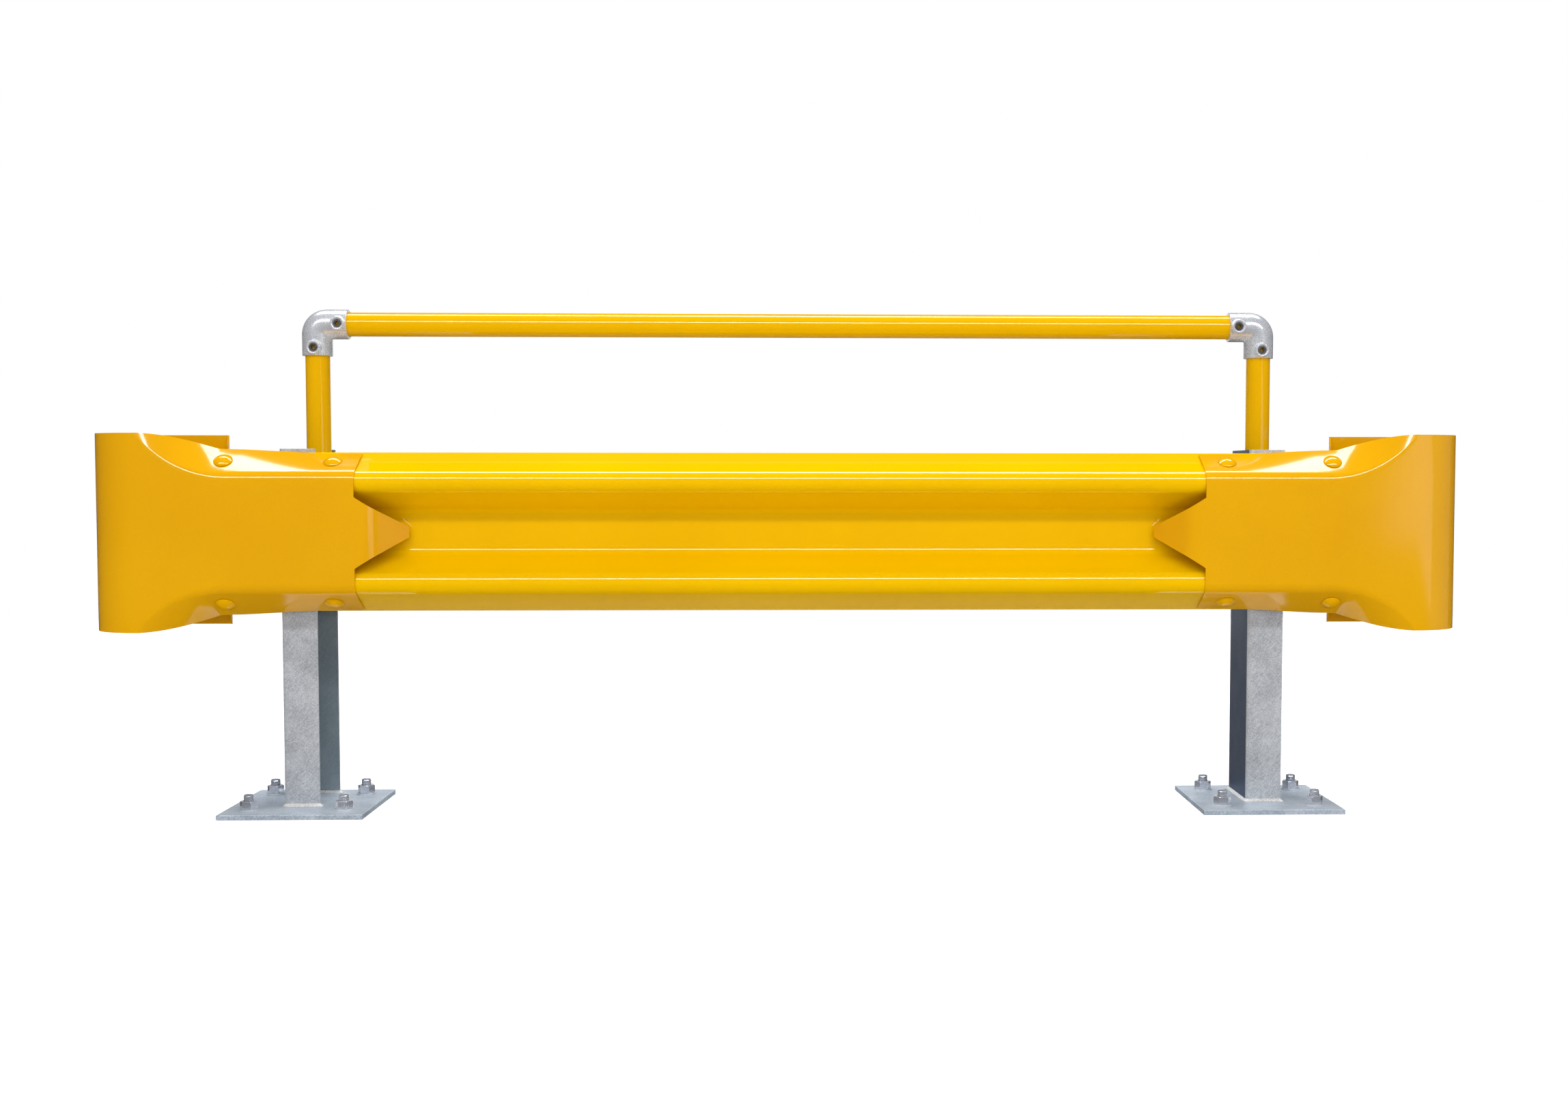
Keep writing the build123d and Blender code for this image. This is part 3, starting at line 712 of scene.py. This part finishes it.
def spliceSeat(x, half):
    # square to the flange, and lifted until the head's rim clears the flange's curve
    along = flangePoint(x + 1, splice["upSlope"], half) - flangePoint(x - 1, splice["upSlope"], half)
    up = flangePoint(x, splice["upSlope"] + 1, half) - flangePoint(x, splice["upSlope"], half)
    out = along.cross(up).normalized() * half
    along.normalize()
    across = out.cross(along)
    origin = flangePoint(x, splice["upSlope"], half)
    rim = [
        flangePoint(x + step, splice["upSlope"] + rise, half)
        for step in splice["seatSteps"] for rise in splice["seatRises"]
        if abs(step) + abs(rise) < splice["seatReach"]
    ]
    lift = max(0.0, max((p - origin).dot(out) for p in rim))
    matrix = Matrix((along, across, out)).transposed().to_4x4()
    return Matrix.Translation(origin + out * lift) @ matrix


def makeSpliceBolts():
    seats = [spliceSeat(x, half) for x in splice["boltX"] for half in (1, -1)]
    return joined(*[placed(mushroomBolt(splice), seat) for seat in seats])


for name, side in sides.items():
    addPiece(
        name + "SpliceBolts", mirrored(makeSpliceBolts(), side), coated["boltPaint"],
        [name + "_splice_bolts"],
    )
print("splice bolts made")


# C-section posts

post = {
    "x": {"left": -990.0, "right": 930.0}, "flange": 70.0, "depth": 150.0, "wall": 5.0, "bend": 8.0,
    "low": 10.0, "high": 718.0, "bendSteps": 8,
}


def makePost(name):
    left = post["x"][name]
    front, back = postFrontY, postFrontY + post["depth"]
    right = left + post["flange"]
    bm = bmesh.new()
    corners = [(right, front), (left, front), (left, back), (right, back)]
    verts = [bm.verts.new((x, y, post["low"])) for x, y in corners]
    run = [bm.edges.new(pair) for pair in zip(verts, verts[1:])]
    made = bmesh.ops.extrude_edge_only(bm, edges=run)["geom"]
    top = [v for v in made if isinstance(v, bmesh.types.BMVert)]
    bmesh.ops.translate(bm, vec=(0, 0, post["high"] - post["low"]), verts=top)
    folds = [e for e in bm.edges if len(e.link_faces) == 2]
    bmesh.ops.bevel(
        bm, geom=folds, offset=post["bend"], offset_type="OFFSET", segments=post["bendSteps"], profile=0.5,
        affect="EDGES", material=-1,
    )
    return fixedFacing(bm, (-1, 0, 0))


for name, finish in (("left", "postZinc"), ("right", "rightPostBluerShadeZinc")):
    addPiece(
        name + "Post", makePost(name), zinc[finish], [name + "_post"], wall=post["wall"],
        edge=0.6, edgeDeg=60,
    )
print("posts made")


# handrail tubes

tube = {
    "radius": 24.15, "wall": 3.2, "y": 72.05, "topZ": 971.0, "uprightLow": 450.0, "endGap": 25.5, "steps": 72,
}
uprightX = {"left": -945.0, "right": 975.0}


def tubeAlong(start, finish):
    start, finish = Vector(start), Vector(finish)
    length = (finish - start).length
    outer, bore = tube["radius"], tube["radius"] - tube["wall"]
    bm = turned([(bore, 0), (outer, 0), (outer, length), (bore, length)], closed=True, steps=tube["steps"])
    turn = Vector((0, 0, 1)).rotation_difference(finish - start).to_matrix().to_4x4()
    return placed(bm, Matrix.Translation(start) @ turn)


for name in sides:
    x = uprightX[name]
    upright = tubeAlong((x, tube["y"], tube["uprightLow"]), (x, tube["y"], tube["topZ"] - tube["endGap"]))
    addPiece(
        name + "UprightTube", upright, coated["tubePaint"], [name + "_upright_tube"], edge=0.4,
    )
topTube = tubeAlong(
    (uprightX["left"] + tube["endGap"], tube["y"], tube["topZ"]),
    (uprightX["right"] - tube["endGap"], tube["y"], tube["topZ"]),
)
addPiece("topRailTube", topTube, coated["tubePaint"], ["top_rail_tube"], edge=0.4)
print("tubes made")


# cast elbows: the solid's own form with its edges softened as a casting's are

casting = {"cell": 0.8, "smooth": 3, "factor": 0.5}


def softened(name, node, material, form):
    piece = addPiece(name, nodeMesh(node), material, [node], smoothDeg=180)
    skin = piece.modifiers.new("skin", "REMESH")
    skin.mode = "VOXEL"
    skin.voxel_size = form["cell"] * mm
    skin.use_smooth_shade = True
    soft = piece.modifiers.new("soft", "SMOOTH")
    soft.factor = form["factor"]
    soft.iterations = form["smooth"]
    return piece


for name in sides:
    softened(name + "Elbow", name + "_elbow", zinc["castZinc"], casting)
    for place in ("top", "side"):
        node = name + "_elbow_screw_" + place
        addPiece(
            name + "ElbowScrew" + place.capitalize(), nodeMesh(node), zinc["screwSteel"],
            [node], edge=0.3,
        )
print("elbows made")


# base plates and the weld beads on them

weld = {
    "cell": 0.8, "smooth": 4, "factor": 0.5, "rippleSize": 4.5, "rippleHeight": 1.1, "rippleMiddle": 0.6,
}
ripple = bpy.data.textures.new("ripple", "CLOUDS")
ripple.noise_scale = weld["rippleSize"] * mm

for name in sides:
    addPiece(
        name + "BasePlate", nodeMesh(name + "_base_plate"), zinc["plateZinc"],
        [name + "_base_plate"], edge=0.3,
    )
    bead = softened(name + "PostWeld", name + "_post_weld", zinc["weldZinc"], weld)
    rough = bead.modifiers.new("ripples", "DISPLACE")
    rough.texture = ripple
    rough.texture_coords = "LOCAL"
    rough.strength = weld["rippleHeight"] * mm
    rough.mid_level = weld["rippleMiddle"]
print("plates and welds made")


# threaded fasteners

plateX = {"left": -955.0, "right": 965.0}
anchor = {
    "stepX": 92.5, "stepY": 85.0, "radius": 10.0, "pitch": 2.5, "height": 41.5, "tipChamfer": 1.6,
}
postBolt = {
    "x": 960.0, "z": 555.0, "headRadius": 17.0, "headHeight": 8.0, "rim": 1.5, "shankRadius": 8.0,
    "length": 32.0, "pitch": 2.0, "threadFrom": 18.0,
}
uprightBolt = {
    "z": (490.0, 650.0), "threadRadius": 6.3, "pitch": 1.75, "tipY": 30.4, "threadLength": 14.0,
    "tipPlain": 1.2,
}
otherFasteners = {
    "anchor_nuts": ("anchorSteel", "anchor_steel"),
    "anchor_washers": ("washerZinc", "washer_zinc"),
    "splice_washers": ("washerZinc", "washer_zinc"),
    "splice_nuts": ("fastenerZinc", "fastener_zinc"),
    "post_washer": ("washerZinc", "washer_zinc"),
    "post_nut": ("fastenerZinc", "fastener_zinc"),
    "upright_washers": ("washerZinc", "washer_zinc"),
    "upright_nuts": ("fastenerZinc", "fastener_zinc"),
}
facingFront = Matrix.Rotation(math.radians(90), 4, "X")


def makeStuds(name):
    rods = []
    for stepX in (-anchor["stepX"], anchor["stepX"]):
        for stepY in (-anchor["stepY"], anchor["stepY"]):
            rod = threadedRod(anchor["radius"], anchor["pitch"], anchor["height"], anchor["tipChamfer"])
            rods.append(placed(rod, Matrix.Translation((plateX[name] + stepX, stepY, 0))))
    return joined(*rods)


def makePostBolt(name):
    seat = Matrix.Translation((sides[name] * postBolt["x"], postFrontY - rail["wall"], postBolt["z"]))
    return placed(mushroomBolt(postBolt), seat @ facingFront)


def makeUprightBolts(name):
    # the solid's heads and shanks, with the thread cut that shows past each nut
    low, high = -uprightBolt["threadLength"], -uprightBolt["tipPlain"]
    ridges = []
    for z in uprightBolt["z"]:
        tip = Matrix.Translation((uprightX[name], uprightBolt["tipY"], z)) @ facingFront
        ridges.append(placed(thread(uprightBolt["threadRadius"], uprightBolt["pitch"], low, high), tip))
    return joined(nodeMesh(name + "_upright_bolts"), *ridges)


for name in sides:
    addPiece(
        name + "AnchorStuds", makeStuds(name), zinc["anchorSteel"], [name + "_anchor_studs"],
    )
    addPiece(
        name + "PostBolt", makePostBolt(name), zinc["fastenerZinc"], [name + "_post_bolt"],
    )
    addPiece(
        name + "UprightBolts", makeUprightBolts(name), zinc["fastenerZinc"],
        [name + "_upright_bolts"],
    )
    for part, (finish, slotName) in otherFasteners.items():
        pieceName = name + "".join(word.capitalize() for word in part.split("_"))
        node = name + "_" + part
        addPiece(pieceName, nodeMesh(node), zinc[finish], [node], edge=0.35)
print("fasteners made")


# floor: white to the camera with the object's shadow on it; in gloss, a dark floor with a painted lit patch
# behind the object, a painted reflection of the floor lit beyond the object's shadow

ground = {
    "size": 9.0, "tone": 0.62, "lift": 0.78, "gloss": (0.010, 0.013, 0.020),
    "pale": (0.24, 0.22, 0.19), "litPatchFrom": 0.19, "litPatchFull": 0.24, "litPatchHalf": 0.95, "litPatchFade": 0.06,
}


def makeFloor():
    bm = bmesh.new()
    bmesh.ops.create_grid(bm, x_segments=1, y_segments=1, size=ground["size"] / 2)
    floor = newObject("floor", bm)
    material, tree, shader, place = newMaterial("floorPaper")
    rays = addNode(tree, "ShaderNodeLightPath").outputs
    setInputs(shader, **{"Roughness": 1.0, "Specular IOR Level": 0.0, "Emission Strength": 1.0})
    paper = mixColours(tree, rays["Is Glossy Ray"], (ground["tone"],) * 3, black)
    tree.links.new(paper, shader.inputs["Base Color"])
    shown = mixColours(tree, rays["Is Camera Ray"], black, (ground["lift"],) * 3)
    # painted reflection: glossy rays see a dark floor and a painted lit patch behind the object, beyond where
    # its shadow falls
    along, depth, _ = axes(tree, place)
    half = ground["litPatchHalf"]
    inside = spread(tree, maths(tree, "ABSOLUTE", along), 1, 0, half, half + ground["litPatchFade"])
    deep = spread(tree, depth, 0, 1, ground["litPatchFrom"], ground["litPatchFull"])
    gloss = mixColours(tree, maths(tree, "MULTIPLY", deep, inside), ground["gloss"], ground["pale"])
    shown = mixColours(tree, rays["Is Glossy Ray"], shown, gloss)
    tree.links.new(shown, shader.inputs["Emission Color"])
    floor.data.materials.append(material)


# world: white to the camera; it lights softly, more from the front and from above

room = {
    "ambient": 0.33, "front": 0.42, "frontUntil": 0.2, "top": 0.16,
    "tone": (0.026, 0.030, 0.040), "paperTone": 1.0, "paperDepth": (0.90, 0.97), "paperHeight": (0.30, 0.42),
}


def makeWorld():
    world = bpy.data.worlds.new("studio")
    world.use_nodes = True
    tree = world.node_tree
    tree.nodes.clear()
    output = addNode(tree, "ShaderNodeOutputWorld")
    backdrop = addNode(tree, "ShaderNodeBackground")
    _, y, z = axes(tree, addNode(tree, "ShaderNodeTexCoord").outputs["Generated"])
    rays = addNode(tree, "ShaderNodeLightPath").outputs
    soft = maths(
        tree, "ADD", spread(tree, y, room["front"], 0, -1, room["frontUntil"]),
        spread(tree, z, 0, room["top"], 0, 1),
    )
    light = mixColours(tree, maths(tree, "ADD", soft, room["ambient"]), black, white)
    # what gloss shows: a dim room, and white paper straight behind the object, near the horizon
    level = spread(tree, maths(tree, "ABSOLUTE", z), 1, 0, *room["paperHeight"])
    paper = maths(tree, "MULTIPLY", spread(tree, y, 0, 1, *room["paperDepth"]), level)
    mirrorTone = mixColours(tree, paper, room["tone"], (room["paperTone"],) * 3)
    seen = mixColours(tree, rays["Is Glossy Ray"], light, mirrorTone)
    plain = maths(tree, "MAXIMUM", rays["Is Camera Ray"], rays["Is Transmission Ray"])
    seen = mixColours(tree, plain, seen, white)
    tree.links.new(seen, backdrop.inputs["Color"])
    tree.links.new(backdrop.outputs["Background"], output.inputs["Surface"])
    bpy.context.scene.world = world


# lamps: two strips as in a hall, mirrored along the beam, and stripLow, which only lights; both panels are
# there for what the right nose mirrors

lamps = {
    "stripBehind": {
        "place": (0.0, 0.86, 4.5), "aim": (0.0, -0.13, 0.67), "size": (6.4, 0.84), "bright": 9.0,
    },
    "stripFront": {
        "place": (0.0, -1.58, 1.84), "aim": (0.0, -0.13, 0.66), "size": (4.4, 0.10), "bright": 17.0,
    },
    "stripLow": {
        "place": (0.0, -9.0, 1.75), "aim": (0.0, -0.13, 0.66), "size": (12.6, 0.18), "bright": 23.0,
        "gloss": False,
    },
    "panelRight": {
        "place": (5.0, -4.5, 0.56), "aim": (5.0, 0.0, 0.56), "size": (4.6, 0.94), "bright": 0.72,
        "rollDeg": -7,
    },
    "panelSide": {
        "place": (2.2, -0.27, 0.5), "aim": (1.2, -0.27, 0.5), "size": (1.0, 0.6), "bright": 0.20,
    },
}


def makeLamps():
    for name, lamp in lamps.items():
        data = bpy.data.lights.new(name, "AREA")
        data.shape = "RECTANGLE"
        data.size, data.size_y = lamp["size"]
        data.energy = lamp["bright"] * math.pi * data.size * data.size_y
        made = bpy.data.objects.new(name, data)
        made.visible_camera = False
        made.visible_glossy = lamp.get("gloss", True)
        made.location = lamp["place"]
        aim = Vector(lamp["aim"]) - Vector(lamp["place"])
        made.rotation_mode = "QUATERNION"
        roll = Quaternion((0, 0, 1), math.radians(lamp.get("rollDeg", 0)))
        made.rotation_quaternion = aim.to_track_quat("-Z", "Y") @ roll
        bpy.context.scene.collection.objects.link(made)


makeFloor()
makeWorld()
makeLamps()
bpy.context.scene.view_settings.view_transform = "Standard"
print("staging made")
